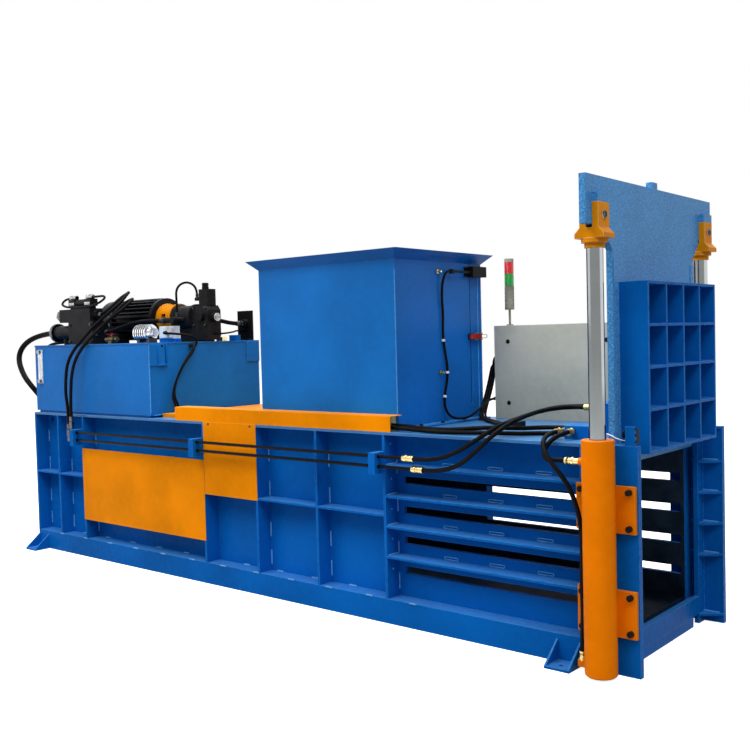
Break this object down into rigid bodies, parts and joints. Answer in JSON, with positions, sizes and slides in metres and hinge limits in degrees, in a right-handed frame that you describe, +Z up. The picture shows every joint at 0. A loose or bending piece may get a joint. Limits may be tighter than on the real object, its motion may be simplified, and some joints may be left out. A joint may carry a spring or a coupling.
{
  "type": "horizontal baler",
  "caption": "Horizontal hydraulic press that packs loose waste into bales, with a lifting end gate, top hopper, oil power unit and control cabinet.",
  "frame": {"origin": "centre of the four anchor holes, at floor level", "axes": "+X along the machine towards the discharge gate, -Y towards the side with the pipes, +Z up"},
  "size_m": [5.0678, 1.38, 2.18],
  "materials": {
    "blue_paint": "gloss",
    "orange_paint": "gloss",
    "grey_paint": "fine texture",
    "black_paint": "satin",
    "yellow_paint": "gloss",
    "chrome": "polished",
    "steel": "brushed",
    "zinc": "zinc plated",
    "cast_iron": "painted dark",
    "aluminium": "cast",
    "brass": "yellow zinc",
    "rubber": "matte",
    "black_plastic": "matte",
    "red_plastic": "matte",
    "grey_plastic": "matte",
    "lens": "clear coloured",
    "gauge_glass": "clear"
  },
  "bodies": {
    "frame": {"side_wall_near": "blue_paint", "side_wall_far": "blue_paint", "base_rails": "blue_paint", "side_ribs": "blue_paint", "chamber_bars": "blue_paint", "gate_post_near": "blue_paint", "gate_post_far": "blue_paint", "floor_plate": "blue_paint", "front_sill": "blue_paint", "tail_plate": "blue_paint", "deck_plates": "blue_paint", "anchor_feet": "blue_paint", "gate_barrels": "yellow_paint", "barrel_bolts": "steel", "hopper_body": "blue_paint", "hopper_hardware": "zinc", "hatch_switch": "black_plastic", "main_cylinder": "black_paint", "oil_tank": "blue_paint", "level_gauge": "gauge_glass", "motor_body": "black_paint", "fan_cover": "black_paint", "bell_housing": "orange_paint", "pump": "cast_iron", "valve_block": "cast_iron", "return_filter": "aluminium", "terminal_box": "grey_plastic", "ball_valve": "zinc", "return_block": "black_paint", "side_covers": "orange_paint", "top_covers": "orange_paint", "side_pipes": "steel", "pipe_clamps": "blue_paint", "cabinet_case": "grey_paint", "cabinet_arms": "blue_paint", "signal_tower": "grey_plastic", "tower_lenses": "lens", "distributor": "blue_paint", "limit_switch": "black_plastic", "hose_fittings": "brass", "power_hoses": "rubber", "pipe_hoses": "rubber", "gate_hoses": "rubber", "cylinder_hoses": "rubber", "cables": "rubber"},
    "gate": {"gate_plate": "blue_paint", "gate_grid": "blue_paint", "gate_yokes": "blue_paint", "gate_pins": "steel", "gate_rods": "chrome"},
    "ram_unit": {"ram": "blue_paint", "ram_shoes": "steel", "ram_rod": "chrome"},
    "hatch": {"hopper_hatch": "blue_paint", "latch_base": "zinc"},
    "latch": {"latch_lever": "red_plastic"},
    "cabinet_front": {"cabinet_door": "grey_paint"},
    "handle": {"door_handle": "black_plastic"},
    "rotor": {"motor_rotor": "steel"},
    "valve_lever": {"ball_valve_lever": "red_plastic"}
  },
  "joints": [
    {"name": "gate_lift", "type": "slide", "parent": "frame", "child": "gate", "axis": [0, 0, 1], "range_m": [-0.78, 0]},
    {"name": "ram_stroke", "type": "slide", "parent": "frame", "child": "ram_unit", "axis": [1, 0, 0], "range_m": [0, 1.07]},
    {"name": "hatch_hinge", "type": "hinge", "parent": "frame", "child": "hatch", "pos_m": [0.089, 0.3045, 1.475], "axis": [0, 0, 1], "range_deg": [0, 110]},
    {"name": "latch_pivot", "type": "hinge", "parent": "hatch", "child": "latch", "pos_m": [1.145, 0.356, 1.48], "axis": [0, 0, 1], "range_deg": [0, 100]},
    {"name": "cabinet_hinge", "type": "hinge", "parent": "frame", "child": "cabinet_front", "pos_m": [2.012, 0.66, 1.27], "axis": [0, 0, -1], "range_deg": [0, 110]},
    {"name": "handle_turn", "type": "hinge", "parent": "cabinet_front", "child": "handle", "pos_m": [1.245, 0.66, 1.269], "axis": [0, 1, 0], "range_deg": [0, 90]},
    {"name": "rotor_spin", "type": "hinge", "parent": "frame", "child": "rotor", "pos_m": [-1.5, 0.05, 1.66], "axis": [1, 0, 0], "continuous": true},
    {"name": "valve_lever_turn", "type": "hinge", "parent": "frame", "child": "valve_lever", "pos_m": [-1.393, -0.392, 1.555], "axis": [0, 0, 1], "range_deg": [0, 90]}
  ]
}
